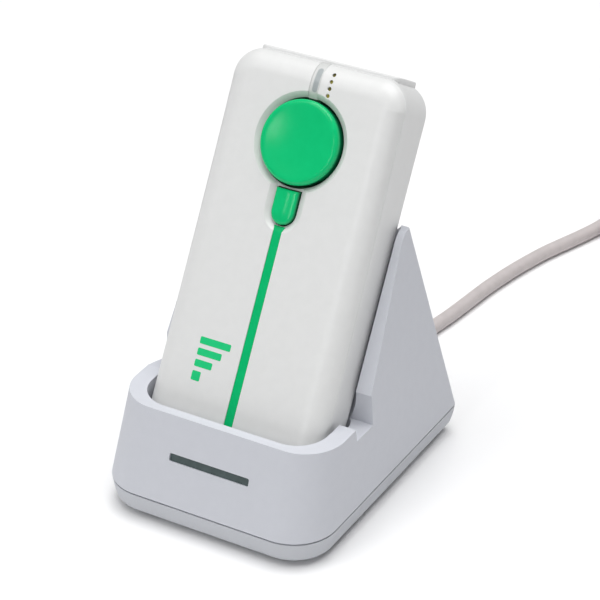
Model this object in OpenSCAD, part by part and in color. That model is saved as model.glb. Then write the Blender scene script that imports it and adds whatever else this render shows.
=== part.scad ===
// Cordless handheld code scanner standing in its desktop charging cradle.
// Frame: X to the right, Y to the back, Z up. The origin is on the table, under the middle of the cradle.
// The scanner's own directions: u across (X), v up along its face, d from its face inwards to its back.

/* [Scanner] */
// Width of the scanner across its face
unit_w = 53.8; // [50:0.1:58]
// Thickness of the scanner from its face to its back
unit_t = 19.5; // [19:0.1:21]
// Place of the scanner's bottom end, along v
unit_low = 9; // [9:0.1:10]
// Place of the scanner's top end, along v
unit_high = 122.4; // [121:0.1:126]
// Lean of the scanner from upright, in degrees
lean = 29.8; // [28:0.1:31]
// Wall of the scanner's two shells
unit_wall = 1.8; // [1.5:0.1:2]

/* [Trigger and key] */
// Radius of the round trigger button
button_r = 12; // [10:0.1:13]
// Place of the trigger button's centre, along v
button_v = 99.9; // [98:0.1:101]
// Height of the trigger button above the face
button_rise = 1.5; // [1:0.1:2]
// Travel of the trigger button
button_travel = 0.9; // [0.5:0.1:0.9]
// Width of the function key
key_w = 7; // [6:0.1:7.4]
// Running gap round the button and the key
key_gap = 0.25; // [0.2:0.05:0.35]

/* [Cradle] */
// Width of the cradle at its seam
cradle_w = 69.8; // [68:0.2:74]
// Depth of the cradle at its seam
cradle_d = 84.8; // [84:0.2:90]
// Height of the seam between the housing and the base plate
seam_z = 8.5; // [8:0.1:9]
// Height of the collar's rim
rim_z = 32.4; // [31:0.1:34]
// Wall of the cradle's mouldings
cradle_wall = 2.2; // [1.8:0.1:2.4]
// Inward draft of the cradle's sides, in degrees
side_draft = 4; // [3:0.1:5]
// Inward draft of the cradle's front, in degrees
front_draft = 19.6; // [18:0.1:21]

/* [Lead] */
// Diameter of the charging lead
lead_d = 4.4; // [4:0.1:4.8]
// Middle radius of the coil's turns
coil_r = 26.4; // [25:0.1:27]
// Layers of turns in the coil
coil_layers = 4; // [4:1:4]

/* [Hidden] */

$fn = 48;
hull_fn = 8;      // straight pieces in each rounded corner
sliver = 0.02;    // thickness of the plates that a hull joins
far = 200;        // longer than anything
plate_gap = 0.05; // depth of the scanner's first plate behind its face
back_step = 0.001; // keeps the side walls of the two shells from being one plane

// Where the scanner's face plane meets v = 0
face_y = -37.76;
face_z = 12;

half_w = unit_w / 2;
face_round = 6.5;     // width of the big rounding from the face to the sides
face_round_d = 4.9;   // depth of that rounding
back_round = 4;       // radius of the edges round the back
corner_r = 8.5;       // radius of the corners seen on the face
part_d = 4.9;         // depth of the parting line half way up
part_v = 66;          // place along v of that depth
part_slant = 2;       // slant of the parting line, in degrees

bezel_half = 21.6;     // half the width of the bezel around the scan window
bezel_front = 5;       // depth of the bezel's front behind the scanner's face
bezel_top = 123.35;    // place along v of the bezel's top
window_seat = 1.2;     // depth of the window's seat under the bezel's top
window_inset = 0.15;   // depth of the window's outside under the bezel's top

half_cw = cradle_w / 2;
half_cd = cradle_d / 2;
rise = rim_z - seam_z;
rim_front = half_cd - rise * tan(front_draft);
rim_half = half_cw - rise * tan(side_draft);
front_corner = 13;     // radius of the cradle's front corners at the seam
rim_corner = 12;       // radius of the cradle's front corners at the rim
rear_corner = 1.1;     // radius of the cradle's rear corners
peak_v = 84.9;         // top of the ears, along v
peak_d = 17.8;         // depth of the ears' top behind the scanner's face
ear_d = 14.2;          // depth of the ears' front edge behind the scanner's face
tower_z = 80;          // height where the tower's outline is set out
pocket_half = 28.1;    // half the width between the ears
collar_half = 28;      // half the width inside the collar
pocket_back = 20;      // depth of the wall that the scanner leans on
pocket_corner = 5;      // radius of the pocket's rear corners
pocket_floor = 8.6;    // place of the pocket's floor, along v
rim_wall = 2.7;        // thickness of the collar at the front

pin_pitch = 3.6;       // distance between the contact pins
pin_r = 0.85;
pin_depth = 9.8;       // depth of the row of pins behind the scanner's face
slot_half = 12.6;      // half the width of the status slot
slot_low = 12.4;       // lower edge of the status slot, along the front wall
slot_high = 14.75;     // upper edge of the status slot, along the front wall

relief_z = 7;          // height of the lead where it leaves the cradle
coil_x = 54;           // middle of the coil
coil_y = 188;
coil_low = lead_d / 2; // height of the lead's middle where it lies on the table
plug_z = 4.2;          // height of the plug's middle
plug_x = 76.6;         // where the lead enters the plug
plug_y = 133;

// The lead's free stretch, from the strain relief to the coil
lead_route = [
  [0, 55.05, 7], [0.02, 56.4, 7], [0.4, 60, 6.5], [1.2, 65, 5.2], [2.2, 70, 3.7], [3.2, 75, 2.6],
  [4.2, 80, 2.2], [5.2, 86.5, 2.2], [6.4, 93.5, 2.2], [7.2, 100, 2.2], [8, 107, 2.2], [8.8, 114, 2.2],
  [9.8, 120.5, 2.2], [11, 127, 2.2], [12.3, 133, 2.2], [13.8, 139, 2.2], [15.5, 145, 2.2],
  [17.6, 151, 2.2], [20, 157.5, 2.2], [22.4, 164.5, 2.2], [24.4, 172, 2.2], [25.3, 180, 2.2],
  [25.4, 188, 2.2]
];

// The lead's last stretch, from on top of the coil down to the plug
tail_route = [
  [82.6, 188, 19.8], [82.6, 183, 19.6], [82.6, 178, 18.6], [82.6, 173, 16.8],
  [82.5, 168, 14.4], [82.0, 163, 11.7], [81.0, 158, 9.1], [79.6, 153, 6.9],
  [78.2, 148, 5.2], [77.2, 143, 4.4], [76.7, 138, 4.2], [plug_x, plug_y, 4.2]
];

foot_places = [[27, -30], [-27, -30], [20, 36], [-20, 36]];
base_screw_places = [[18.5, -33.5], [-18.5, -33.5], [28.6, 34], [-28.6, 34]];
shell_screw_places = [[20.4, 22], [-20.4, 22], [20.4, 104], [-20.4, 104]];

// Points of an arc, from angle a to angle b
function arc(x, y, r, a, b) = [for (i = [0:hull_fn]) let (t = a + (b - a) * i / hull_fn)
  [x + r * cos(t), y + r * sin(t)]];

// Outline of a box with rounded corners: x from -half to half, y from low to high
function rounded(half, low, high, r_low, r_high) = concat(
  arc(half - r_low, low + r_low, r_low, -90, 0), arc(half - r_high, high - r_high, r_high, 0, 90),
  arc(r_high - half, high - r_high, r_high, 90, 180), arc(r_low - half, low + r_low, r_low, 180, 270));

// A point (y, z) from its place v along the scanner and its depth d behind the face
function on_unit(v, d) = [face_y + v * sin(lean) + d * cos(lean), face_z + v * cos(lean) - d * sin(lean)];

function unit(v) = v / norm(v);

// Direction of a route at its point i
function along(route, i) = unit(route[min(i + 1, len(route) - 1)] - route[max(i - 1, 0)]);

// Ring of points round point i of a route
function ring(route, i, r, sides) =
  let (t = along(route, i), side = unit(cross(t, [0, 0, 1])), up = cross(side, t))
  [for (k = [0:sides - 1]) route[i] + r * (cos(360 * k / sides) * side + sin(360 * k / sides) * up)];

// Children drawn in the scanner's frame: X is u, Y is d, Z is v
module on_scanner() {
  translate([0, face_y, face_z]) rotate([-lean, 0, 0]) children();
}

// Children drawn on the cradle's front wall: Y goes inwards, Z goes up along the wall
module on_front_wall() {
  translate([0, -half_cd, seam_z]) rotate([-front_draft, 0, 0]) children();
}

// A closed tube along a route
module tube(route, r, sides) {
  n = len(route);
  points = [for (i = [0:n - 1]) each ring(route, i, r, sides)];
  walls = [for (i = [0:n - 2], k = [0:sides - 1]) let (j = (k + 1) % sides)
    [i * sides + k, (i + 1) * sides + k, (i + 1) * sides + j, i * sides + j]];
  first = [for (k = [0:sides - 1]) k];
  last = [for (k = [0:sides - 1]) n * sides - 1 - k];
  polyhedron(points, concat(walls, [first, last]));
}

// A block in the scanner's frame, centred across at u, from depth d0 to d1 and from v0 to v1
module block(u, w, d0, d1, v0, v1) {
  translate([u - w / 2, d0, v0]) cube([w, d1 - d0, v1 - v0]);
}

// A round bar in the scanner's frame that runs inwards from depth d0 to d1
module bar(u, v, r, d0, d1) {
  translate([u, d1, v]) rotate([90, 0, 0]) cylinder(r = r, h = d1 - d0);
}

// ---- Scanner ----

// A thin plate across the scanner at depth d, inset all round by s
module unit_plate(d, s) {
  r = max(corner_r - s, 2.5);
  translate([0, d, 0]) rotate([90, 0, 0])
    linear_extrude(sliver) polygon(rounded(half_w - s, unit_low + s, unit_high - s, r, r));
}

// The scanner's whole outside
module unit_form() {
  hull() {
    for (a = [0:18:90]) {
      unit_plate(plate_gap + face_round_d * (1 - cos(a)), face_round * (1 - sin(a)));
      unit_plate(unit_t - back_round * (1 - cos(a)), back_round * (1 - sin(a)) + back_step);
    }
  }
}

// The space inside the scanner
module unit_cavity() {
  steps = [[unit_wall, 3.6, 4], [3.6, 2.2, unit_t - unit_wall - 1.4], [4, 2.9, unit_t - unit_wall]];
  for (s = steps)
    translate([0, s[2], 0]) rotate([90, 0, 0]) linear_extrude(s[2] - s[0])
      polygon(rounded(half_w - s[1], unit_low + s[1], unit_high - s[1], 5, 5));
}

// Everything in front of the parting line
module front_side() {
  translate([0, part_d, part_v]) rotate([part_slant, 0, 0])
    translate([-far / 2, -far, -far / 2]) cube([far, far, far]);
}

// Everything behind the parting line
module back_side() {
  translate([0, part_d, part_v]) rotate([part_slant, 0, 0])
    translate([-far / 2, 0, -far / 2]) cube([far, far, far]);
}

// Outline of the function key in (u, v), grown by g: straight at the top, round at the bottom
module key_outline(g) {
  r = key_w / 2;
  translate([0, 77 + r]) circle(r = r + g);
  translate([-r - g, 77 + r]) square([key_w + 2 * g, 86.8 - 77 - r + g]);
}

// The key's outline as a block from depth d0 to d1
module key_block(g, d0, d1) {
  translate([0, d1, 0]) rotate([90, 0, 0]) linear_extrude(d1 - d0) key_outline(g);
}

module bezel_opening() {
  block(0, 2 * bezel_half + 0.1, bezel_front - 0.05, 18.05, 119, 130);
}

module light_pipe_slot() {
  block(0, 2.9, -1, bezel_front - 0.04, 112, 130);
}

module front_shell() {
  color([0.92, 0.92, 0.91]) on_scanner() difference() {
    union() {
      difference() {
        intersection() {
          unit_form();
          front_side();
        }
        unit_cavity();
      }
      for (p = shell_screw_places) bar(p[0], p[1], 3, unit_wall - 0.2, 9);
    }
    bar(0, button_v, button_r + key_gap, -1, 4);
    translate([0, -0.01, button_v]) rotate([-90, 0, 0])
      cylinder(r1 = button_r + 2, r2 = button_r + key_gap, h = 1.2);
    key_block(key_gap, -1, 4);
    key_block(1.3, -1, 0.7);
    block(0, 2.7, -1, 0.8, 15, 76.8);
    light_pipe_slot();
    for (i = [0:3]) bar(4.5, 113.8 + 1.95 * i, 0.55, -1, 3);
    bezel_opening();
    for (p = shell_screw_places) bar(p[0], p[1], 0.9, 4.5, 10);
  }
}

module rear_shell() {
  color([0.86, 0.86, 0.85]) on_scanner() difference() {
    union() {
      difference() {
        intersection() {
          unit_form();
          back_side();
        }
        unit_cavity();
      }
      for (p = shell_screw_places) bar(p[0], p[1], 3, 9, unit_t - unit_wall + 0.4);
    }
    bezel_opening();
    light_pipe_slot();
    for (p = shell_screw_places) {
      bar(p[0], p[1], 1.1, 8, 20);
      bar(p[0], p[1], 2.3, unit_t - 1.2, 20);
    }
    for (i = [0:3]) block((i - 1.5) * pin_pitch, 2.5, pin_depth - 1.25, pin_depth + 1.25, 8, 12);
  }
}

module accent_strip() {
  color([0.06, 0.69, 0.41]) on_scanner() block(0, 2.6, 0.02, 0.8, 15.1, 76.6);
}

module light_pipe() {
  color([0.85, 0.87, 0.88, 0.6]) on_scanner() difference() {
    intersection() {
      unit_form();
      block(0, 2.8, -1, bezel_front - 0.1, 112.1, 130);
    }
    block(0, 4, unit_wall, 30, 100, unit_high - 2.4);
  }
}

module window_bezel() {
  color([0.9, 0.9, 0.89]) on_scanner() difference() {
    translate([0, 0, 119.1]) linear_extrude(bezel_top - 119.1)
      polygon(rounded(bezel_half, bezel_front, 18, 2.2, 2.2));
    translate([0, 0, 119]) linear_extrude(6) polygon(rounded(16, 6.6, 16, 1.5, 1.5));
    translate([0, 0, bezel_top - window_seat]) linear_extrude(2) polygon(rounded(17.4, 5.8, 16.7, 2, 2));
  }
}

module scan_window() {
  color([0.2, 0.05, 0.06, 0.8]) on_scanner()
    translate([0, 0, bezel_top - window_seat]) linear_extrude(window_seat - window_inset)
      polygon(rounded(17.3, 5.9, 16.6, 1.9, 1.9));
}

module trigger_button() {
  color([0.07, 0.73, 0.45]) on_scanner() {
    difference() {
      translate([0, -button_rise, button_v]) rotate([-90, 0, 0]) rotate_extrude()
        polygon(concat([[0, 0.35], [5, 0.25], [9.4, 0]], arc(button_r - 1.3, 1.3, 1.3, -90, 0),
          [[button_r, 4.1], [10.6, 4.1], [10.6, 2], [0, 2]]));
    }
    bar(0, button_v, 2, 0.4, 4.3);
    for (a = [90, 210, 330])
      translate([0, 0, button_v]) rotate([0, -a, 0]) translate([10, 2.3, -2]) cube([3.3, 0.9, 4]);
  }
}

module function_key() {
  color([0.07, 0.73, 0.45]) on_scanner() {
    key_block(0, -0.5, 2.5);
    block(0, key_w + 1.6, 2.1, 2.9, 78, 84);
    bar(0, 81, 1.2, 2.5, 4.6);
  }
}

module main_board() {
  color([0.05, 0.36, 0.2]) on_scanner() block(0, 34.6, 8, 9.2, 16, 118.6);
}

module trigger_switch() {
  color([0.15, 0.15, 0.16]) on_scanner() {
    block(0, 6, 5.9, 8, button_v - 3, button_v + 3);
    bar(0, button_v, 1.7, 5.4, 5.9);
  }
}

module function_switch() {
  color([0.15, 0.15, 0.16]) on_scanner() {
    block(0, 4.5, 5.9, 8, 81 - 2.2, 81 + 2.2);
    bar(0, 81, 1.1, 5.3, 5.9);
  }
}

module indicator_led() {
  color([0.95, 0.95, 0.9]) on_scanner() block(0, 2, 6.8, 8, 115, 117);
}

module beeper() {
  color([0.1, 0.1, 0.1]) on_scanner() difference() {
    bar(6.8, 115.2, 3.6, 3.8, 8);
    bar(6.8, 115.2, 1, 3, 4.8);
  }
}

module radio_module() {
  color([0.75, 0.76, 0.78]) on_scanner() block(5, 13, 5.8, 8, 42, 60);
}

module processor() {
  color([0.12, 0.12, 0.13]) on_scanner() {
    block(-9, 10, 6.8, 8, 46, 56);
    block(-9, 6, 7, 8, 60, 68);
    block(9, 8, 7, 8, 28, 34);
  }
}

module battery() {
  color([0.2, 0.32, 0.5]) on_scanner() block(0, 33, 9.9, 16.9, 26, 76);
}

module battery_socket() {
  color([0.93, 0.9, 0.82]) on_scanner() block(-8, 9, 9.2, 14, 77.5, 83);
}

module engine_frame() {
  color([0.14, 0.14, 0.15]) on_scanner() difference() {
    block(0, 27, 9.4, 17, 99, 118.4);
    translate([0, 13.2, 104]) cylinder(r = 3.4, h = 20);
    for (s = [-1, 1]) translate([s * 9, 13.2, 110]) cylinder(r = 2.05, h = 20);
  }
}

module engine_lens() {
  color([0.35, 0.3, 0.5, 0.8]) on_scanner() translate([0, 13.2, 104]) rotate_extrude()
    polygon([[0, 0], [3.35, 0], [3.35, 13], [2.6, 13], [2.2, 12.4], [1.2, 12.9], [0, 13]]);
}

module aiming_leds() {
  color([0.9, 0.2, 0.15]) on_scanner()
    for (s = [-1, 1]) translate([s * 9, 13.2, 110]) {
      cylinder(r = 2, h = 5);
      translate([0, 0, 5]) sphere(r = 2, $fn = 24);
    }
}

module engine_board() {
  color([0.05, 0.36, 0.2]) on_scanner() block(0, 27, 9.4, 17, 97.9, 98.9);
}

module charge_pads() {
  color([0.85, 0.68, 0.28]) on_scanner()
    for (i = [0:3]) block((i - 1.5) * pin_pitch, 2.4, pin_depth - 1.2, pin_depth + 1.2, 9.05, 12);
}

module shell_screws() {
  color([0.6, 0.61, 0.63]) on_scanner()
    for (p = shell_screw_places) difference() {
      union() {
        bar(p[0], p[1], 2.1, unit_t - 1.2, unit_t - 0.2);
        bar(p[0], p[1], 0.9, 5, unit_t - 1.2);
      }
      bar(p[0], p[1], 0.8, unit_t - 0.9, unit_t);
    }
}

// ---- Cradle ----

// A thin level plate of the cradle's outline
module cradle_plate(z, half, front, back, r_front) {
  translate([0, 0, z]) linear_extrude(sliver) polygon(rounded(half, -front, back, r_front, rear_corner));
}

// The collar and the lower walls, inset by s
module lower_form(s) {
  hull() {
    cradle_plate(seam_z, half_cw - s, half_cd - s, half_cd - s, front_corner - s);
    cradle_plate(rim_z, rim_half - s, rim_front - s, half_cd - s, rim_corner - s);
  }
}

// The tower above the rim, as wide as the drafted sides allow
module upper_form() {
  top_half = rim_half - (tower_z - rim_z) * tan(side_draft);
  hull() {
    cradle_plate(rim_z, rim_half, 20, half_cd, rear_corner);
    cradle_plate(tower_z, top_half, 20, half_cd, rear_corner);
  }
}

// Side view of the housing, as points (y, z): collar, ledge, ears and rear wall
ear_foot = on_unit(38, ear_d);
ear_high = on_unit(80.5, ear_d);
ear_round = on_unit(83.6, 15.1);
peak = on_unit(peak_v, peak_d);
side_view = [
  [-half_cd, seam_z], [-half_cd, rim_z], [-15.5, rim_z], [-15.5, 28.7], [-6.3, 28.7], [-6.3, 38],
  ear_foot, ear_high, ear_round, peak, [half_cd, seam_z + 0.4], [half_cd, seam_z]
];

// The slope that fills the step on the left, from the rim down to the ear
left_slope = [[-18, 28], [-18, rim_z], [-13.8, 31.9], [-9.5, 30.7], [-6.2, 29.9], [-6.2, 28]];

// The pocket that the scanner stands in, grown by g
module pocket_form(g) {
  on_scanner() translate([0, 0, pocket_floor - g]) linear_extrude(130)
    polygon(rounded(pocket_half + g, -0.6 - g, pocket_back + g, 6, pocket_corner + g));
  low = 19.2 - g;
  high = rim_z + 8;
  inner = rim_front - rim_wall;
  hull() {
    translate([0, 0, low]) linear_extrude(sliver)
      polygon(rounded(collar_half + g, -inner - (rim_z - low) * tan(front_draft) - g, -24, 9.5, 1));
    translate([0, 0, high]) linear_extrude(sliver)
      polygon(rounded(collar_half + g, -inner + (high - rim_z) * tan(front_draft) - g, -12, 9.5, 1));
  }
}

// The status slot with its light guide, in the front wall, grown by g
module status_form(g) {
  on_front_wall() {
    translate([-slot_half - g, 0.7, slot_low - g])
      cube([2 * (slot_half + g), 1.4 + g, slot_high - slot_low + 2 * g]);
    translate([-slot_half + 1 - g, 1.3 - g, 1.2]) cube([2 * (slot_half - 1 + g), 0.8 + 2 * g, slot_low - 0.6]);
  }
}

// The inside face of the rear wall at height z, as a point (y, z)
function rear_inside(z) =
  [half_cd - 1.05 * cradle_wall - (z - seam_z) * (half_cd - peak[0]) / (peak[1] - seam_z), z];

// A side view in (y, z) extruded across the middle of the cradle
module across(width, points) {
  rotate([90, 0, 90]) translate([0, 0, -width / 2]) linear_extrude(width) polygon(points);
}

// The space behind the wall that the scanner leans on
module tower_space() {
  top = on_unit(68, pocket_back + cradle_wall);
  low = on_unit(28, pocket_back + cradle_wall);
  across(50, [top, low, [low[0], seam_z - 1], rear_inside(seam_z - 1), rear_inside(top[1])]);
}

// The low space under the collar and the ledge
module lower_space() {
  roof = 26.4;
  intersection() {
    translate([0, 0, -cradle_wall - 1.3]) lower_form(cradle_wall);
    across(cradle_w, [[-half_cd, 0], [-half_cd, roof], rear_inside(roof), rear_inside(seam_z), rear_inside(0)]);
  }
}

module cradle_housing() {
  color([0.8, 0.81, 0.84]) difference() {
    intersection() {
      union() {
        lower_form(0);
        upper_form();
      }
      union() {
        across(cradle_w, side_view);
        translate([-half_cw / 2, 0, 0]) across(half_cw, left_slope);
      }
    }
    pocket_form(0);
    difference() {
      lower_space();
      pocket_form(cradle_wall);
      for (p = base_screw_places) translate([p[0], p[1], 6]) cylinder(r = 3, h = 30);
    }
    tower_space();
    status_form(0.05);
    on_front_wall() translate([-slot_half, -1, slot_low]) cube([2 * slot_half, 2, slot_high - slot_low]);
    on_scanner() block(0, 16.1, pin_depth - 2.05, pin_depth + 2.05, 3, 10);
    for (p = base_screw_places) translate([p[0], p[1], 7]) cylinder(r = 1.1, h = 12);
    translate([0, 30, relief_z]) rotate([-90, 0, 0]) cylinder(r = 3.65, h = 20);
  }
}

module base_plate() {
  color([0.72, 0.73, 0.76]) difference() {
    hull() {
      cradle_plate(seam_z - sliver, half_cw, half_cd, half_cd, front_corner);
      cradle_plate(5, half_cw - 0.6, half_cd - 0.6, half_cd - 0.6, front_corner - 0.6);
      cradle_plate(3, half_cw - 1.1, half_cd - 1.1, half_cd - 1.1, front_corner - 1.1);
      cradle_plate(1.9, half_cw - 2, half_cd - 2, half_cd - 2, front_corner - 2);
      cradle_plate(1.4, half_cw - 3.2, half_cd - 3.2, half_cd - 3.2, front_corner - 3.2);
    }
    difference() {
      translate([0, 0, 3.4]) linear_extrude(10)
        polygon(rounded(half_cw - 3.2, -half_cd + 3.2, half_cd - 3.2, 10, 2));
      for (p = base_screw_places) translate([p[0], p[1], 3]) cylinder(r = 3, h = seam_z - 3);
      for (x = [-14, 14], y = [-14, 22]) translate([x, y, 3]) cylinder(r = 2, h = 1.6);
    }
    for (p = base_screw_places) translate([p[0], p[1], 0]) {
      cylinder(r = 1.3, h = 12);
      cylinder(r = 2.6, h = 3.4);
    }
    for (p = foot_places) translate([p[0], p[1], 0]) cylinder(r = 4.05, h = 2.2);
    translate([0, 30, relief_z]) rotate([-90, 0, 0]) cylinder(r = 3.65, h = 20);
    translate([0, 37.3, relief_z]) rotate([-90, 0, 0]) cylinder(r = 4.7, h = 1.85);
  }
}

module rubber_feet() {
  color([0.75, 0.76, 0.78])
    for (p = foot_places) translate([p[0], p[1], 0]) rotate_extrude()
      polygon([[0, 0], [3.4, 0], [4, 0.5], [4, 2.2], [0, 2.2]]);
}

module base_screws() {
  color([0.6, 0.61, 0.63])
    for (p = base_screw_places) translate([p[0], p[1], 2]) difference() {
      union() {
        cylinder(r = 2.4, h = 1.4);
        cylinder(r = 1.1, h = 15);
      }
      translate([0, 0, -1]) cylinder(r = 0.9, h = 1.8);
    }
}

module status_lens() {
  color([0.3, 0.35, 0.35]) status_form(0);
}

module cradle_board() {
  color([0.05, 0.36, 0.2]) difference() {
    translate([-18, -35, 4.6]) cube([36, 66, 1.2]);
    for (s = [-1, 1]) translate([s * 18.5, -33.5, 4]) cylinder(r = 3.4, h = 3);
  }
}

module status_leds() {
  color([0.95, 0.95, 0.9])
    for (x = [-7, 0, 7]) translate([x - 1.5, -34.5, 5.8]) cube([3, 2, 1.2]);
}

module contact_block() {
  color([0.1, 0.1, 0.11]) on_scanner() difference() {
    block(0, 16, pin_depth - 2, pin_depth + 2, 3.2, pocket_floor - 0.05);
    for (i = [0:3]) translate([(i - 1.5) * pin_pitch, pin_depth, 2]) cylinder(r = pin_r + 0.05, h = 10);
  }
}

// One gold contact pin, with its round tip just under the scanner's pad
module contact_pin(i) {
  color([0.85, 0.68, 0.28]) on_scanner() translate([(i - 1.5) * pin_pitch, pin_depth, 0]) rotate_extrude()
    polygon([[0, 4], [pin_r, 4], [pin_r, 8.5], [0.6, 8.85], [0, 8.95]]);
}

module contact_pin_1() { contact_pin(0); }
module contact_pin_2() { contact_pin(1); }
module contact_pin_3() { contact_pin(2); }
module contact_pin_4() { contact_pin(3); }

// ---- Lead ----

module strain_relief() {
  color([0.78, 0.76, 0.76]) translate([0, 0, relief_z]) rotate([-90, 0, 0]) rotate_extrude()
    polygon([[0, 37.5], [4.6, 37.5], [4.6, 39], [3.6, 39], [3.6, 43.4], [2.5, 55], [0, 55]]);
}

module cable_lead() {
  color([0.8, 0.79, 0.79]) tube(lead_route, lead_d / 2, 8);
}

module cable_coil() {
  low = coil_r - lead_d;
  color([0.8, 0.79, 0.79]) translate([coil_x, coil_y, 0]) rotate_extrude()
    translate([low, 0]) square([2 * lead_d, coil_layers * lead_d]);
}

module cable_tail() {
  color([0.8, 0.79, 0.79]) tube(tail_route, lead_d / 2, 8);
}

module plug_body() {
  color([0.82, 0.82, 0.83]) translate([plug_x, plug_y, plug_z]) {
    rotate([90, 0, 0]) rotate_extrude() polygon([[0, 0], [2.7, 0], [3.6, 8.2], [0, 8.2]]);
    translate([-8, -34, -plug_z]) cube([16, 26, 2 * plug_z]);
  }
}

module plug_shell() {
  color([0.75, 0.76, 0.78]) translate([plug_x, plug_y - 46, plug_z]) difference() {
    translate([-6, 0, -2.25]) cube([12, 12, 4.5]);
    translate([-5.7, -1, -1.95]) cube([11.4, 12.5, 3.9]);
  }
}

module plug_tongue() {
  color([0.95, 0.95, 0.94]) translate([plug_x, plug_y - 45, plug_z])
    translate([-5.5, 0, 0]) cube([11, 10.5, 1.8]);
}

cradle_housing();
base_plate();
rubber_feet();
base_screws();
status_lens();
cradle_board();
status_leds();
contact_block();
contact_pin_1();
contact_pin_2();
contact_pin_3();
contact_pin_4();
strain_relief();
cable_lead();
cable_coil();
cable_tail();
plug_body();
plug_shell();
plug_tongue();
front_shell();
rear_shell();
accent_strip();
light_pipe();
window_bezel();
scan_window();
trigger_button();
function_key();
main_board();
trigger_switch();
function_switch();
indicator_led();
beeper();
radio_module();
processor();
battery();
battery_socket();
engine_frame();
engine_lens();
aiming_leds();
engine_board();
charge_pads();
shell_screws();
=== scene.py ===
"""A cordless handheld scanner in its charging cradle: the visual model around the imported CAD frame.

Lengths are in millimetres up to the point where a mesh is made. The row frame has X to the right, Y to the
back and Z up. The scanner's own directions are u across, d from its face inwards and v up along its face.
"""
import math

import bmesh
import bpy
from mathutils import Matrix, Vector


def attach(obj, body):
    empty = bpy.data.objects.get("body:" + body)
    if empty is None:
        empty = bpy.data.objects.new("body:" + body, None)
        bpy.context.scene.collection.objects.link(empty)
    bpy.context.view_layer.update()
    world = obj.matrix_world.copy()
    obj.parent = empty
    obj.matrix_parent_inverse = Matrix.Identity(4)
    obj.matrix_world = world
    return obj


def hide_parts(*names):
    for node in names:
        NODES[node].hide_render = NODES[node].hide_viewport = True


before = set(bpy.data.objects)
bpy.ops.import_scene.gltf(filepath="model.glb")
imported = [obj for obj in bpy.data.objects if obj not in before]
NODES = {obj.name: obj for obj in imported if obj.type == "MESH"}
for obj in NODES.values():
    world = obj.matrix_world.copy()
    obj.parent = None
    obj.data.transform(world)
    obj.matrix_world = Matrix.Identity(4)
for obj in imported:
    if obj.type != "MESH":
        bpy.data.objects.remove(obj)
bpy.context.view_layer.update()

MM = 0.001

# ---- Driving sizes, as in the CAD source ----
UNIT_W = 53.8
UNIT_T = 19.5
UNIT_LOW = 9.0
UNIT_HIGH = 122.4
LEAN = 29.8
FACE_Y = -37.76
FACE_Z = 12.0
FACE_ROUND = 6.5
FACE_ROUND_D = 4.9
BACK_ROUND = 4.0
CORNER_R = 8.5
PART_D = 4.9
PART_V = 66.0
PART_SLANT = 2.0
BUTTON_R = 12.0
BUTTON_V = 99.9
BUTTON_RISE = 1.5
KEY_W = 7.0
KEY_LOW = 77.0
KEY_HIGH = 86.8
BEZEL_HALF = 21.6
BEZEL_FRONT = 5.0
BEZEL_BACK = 18.0
BEZEL_TOP = 123.35
WINDOW_SEAT = 1.2

CRADLE_W = 69.8
CRADLE_D = 84.8
SEAM_Z = 8.5
RIM_Z = 32.4
SIDE_DRAFT = 4.0
FRONT_DRAFT = 19.6
FRONT_CORNER = 13.0
REAR_CORNER = 1.1
PEAK_V = 84.9
PEAK_D = 17.8
EAR_D = 14.2
POCKET_HALF = 28.1
COLLAR_HALF = 28.0
POCKET_BACK = 20.0
POCKET_FLOOR = 8.6
POCKET_CORNER = 5.0
RIM_WALL = 2.7
WALL = 2.2
CRADLE_STEP_Y = -6.3
LEDGE_Y = -15.5
LEDGE_Z = 28.7
BAND = 0.4
RELIEF_Z = 7.0
BASE_SCREWS = [(18.5, -33.5), (-18.5, -33.5), (28.6, 34), (-28.6, 34)]
FEET = [(27, -30), (-27, -30), (20, 36), (-20, 36)]

LEAD_D = 4.4
COIL_X = 54.0
COIL_Y = 188.0
COIL_R = 26.4
LEAD_ROUTE = [
    (0, 55, 7), (0.02, 56.4, 7), (0.4, 60, 6.5), (1.2, 65, 5.2), (2.2, 70, 3.7), (3.2, 75, 2.6),
    (4.2, 80, 2.2), (5.2, 86.5, 2.2), (6.4, 93.5, 2.2), (7.2, 100, 2.2), (8, 107, 2.2), (8.8, 114, 2.2),
    (9.8, 120.5, 2.2), (11, 127, 2.2), (12.3, 133, 2.2), (13.8, 139, 2.2), (15.5, 145, 2.2),
    (17.6, 151, 2.2), (20, 157.5, 2.2), (22.4, 164.5, 2.2), (24.4, 172, 2.2), (25.3, 180, 2.2),
    (25.4, 188, 2.2),
]
TAIL_ROUTE = [
    (82.6, 188, 19.8), (82.6, 183, 19.6), (82.6, 178, 18.6), (82.6, 173, 16.8), (82.5, 168, 14.4),
    (82.0, 163, 11.7), (81.0, 158, 9.1), (79.6, 153, 6.9), (78.2, 148, 5.2), (77.2, 143, 4.4),
    (76.7, 138, 4.2), (76.6, 133, 4.2),
]

# ---- Details of the visual model, in the scanner's u, d and v unless said otherwise ----
SEAM_GAP = 0.14
SHELL_WALL = 2.2
LIP_D = 1.8
SHELL_SCREWS = [(20.4, 22), (-20.4, 22), (20.4, 104), (-20.4, 104)]
BOSS_R = 3.0
RECESS_SOFTNESS = 0.07
RING_OUTER = BUTTON_R + 2.0
RING_DEPTH = 1.2
CAP_GAP = 0.4
KEY_GAP = 0.28
KEY_RECESS = 2.15
KEY_RECESS_END = 1.4
STRIP_HALF = 1.3
STRIP_LOW = 15.12
HOLE_U = 4.5
HOLE_LOW = 113.8
HOLE_PITCH = 1.95
HOLES = 4
HOLE_R = 0.55
PIPE_HALF = 1.4
PIPE_LOW = 112.1
PIPE_THICK = 1.5
CORE_HALF = 0.8
CORE_ASIDE = 0.3
CORE_LOW = 113.9
CORE_HIGH = 120.6
CORE_BLUR = 0.16
PIN_PITCH = 3.6
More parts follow.
